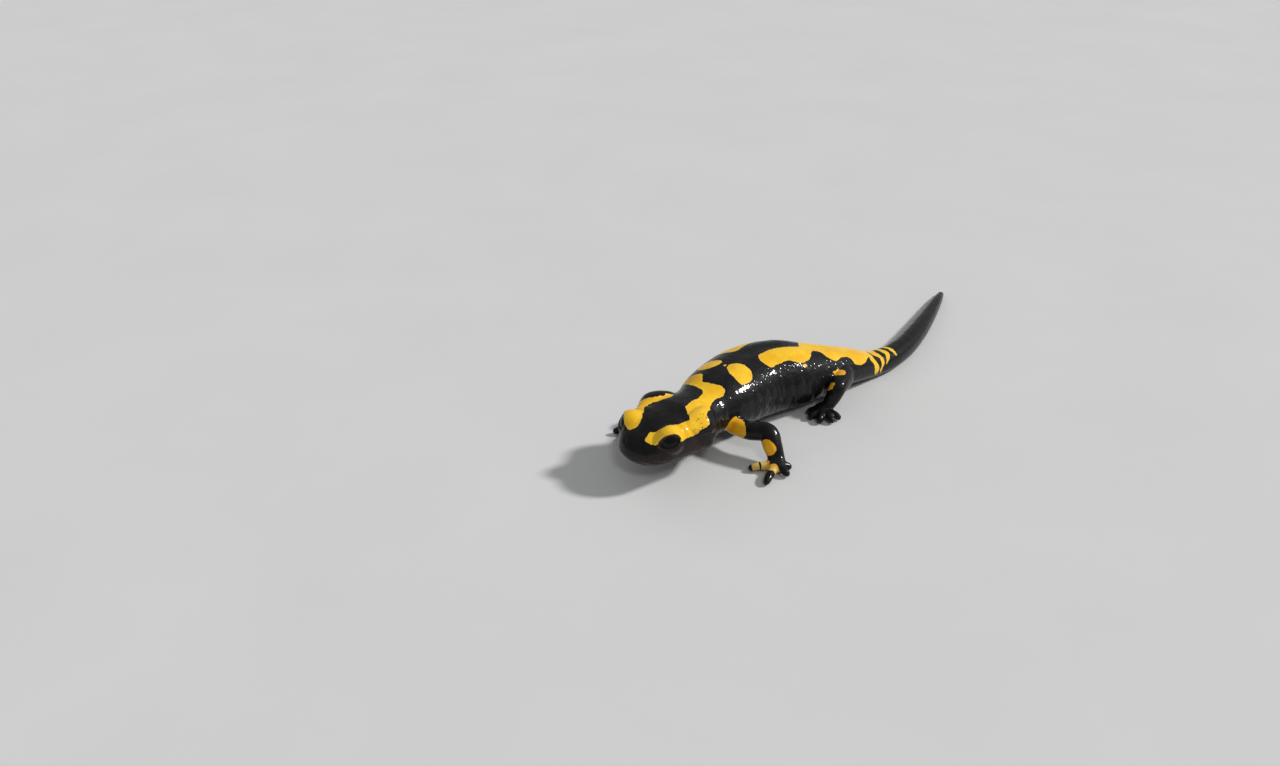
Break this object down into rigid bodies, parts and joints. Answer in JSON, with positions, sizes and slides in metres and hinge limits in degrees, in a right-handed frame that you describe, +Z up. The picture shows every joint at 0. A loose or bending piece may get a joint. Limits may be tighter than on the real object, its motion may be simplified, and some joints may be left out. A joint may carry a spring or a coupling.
{
  "type": "fire salamander figure",
  "caption": "Life-size still figure of an adult fire salamander, black with yellow bands and spots, resting on its belly with the head raised.",
  "frame": {"origin": "on the floor under the middle of the trunk, on the flat of the belly", "axes": "+X forward along the trunk, +Y to the animal's left, +Z up"},
  "size_m": [0.163, 0.0497, 0.0185],
  "materials": {
    "skin": "wet glossy black skin with saturated yellow bands and spots",
    "eye": "wet, nearly black"
  },
  "bodies": {
    "root": {"head": "skin", "neck": "skin", "torso": "skin", "tail_base": "skin", "tail_middle": "skin", "tail_tip": "skin", "upper_arm_left": "skin", "forearm_left": "skin", "forefoot_left": "skin", "thigh_left": "skin", "shin_left": "skin", "hindfoot_left": "skin", "upper_arm_right": "skin", "forearm_right": "skin", "forefoot_right": "skin", "thigh_right": "skin", "shin_right": "skin", "hindfoot_right": "skin", "eye_left": "eye", "eye_right": "eye"}
  },
  "joints": []
}
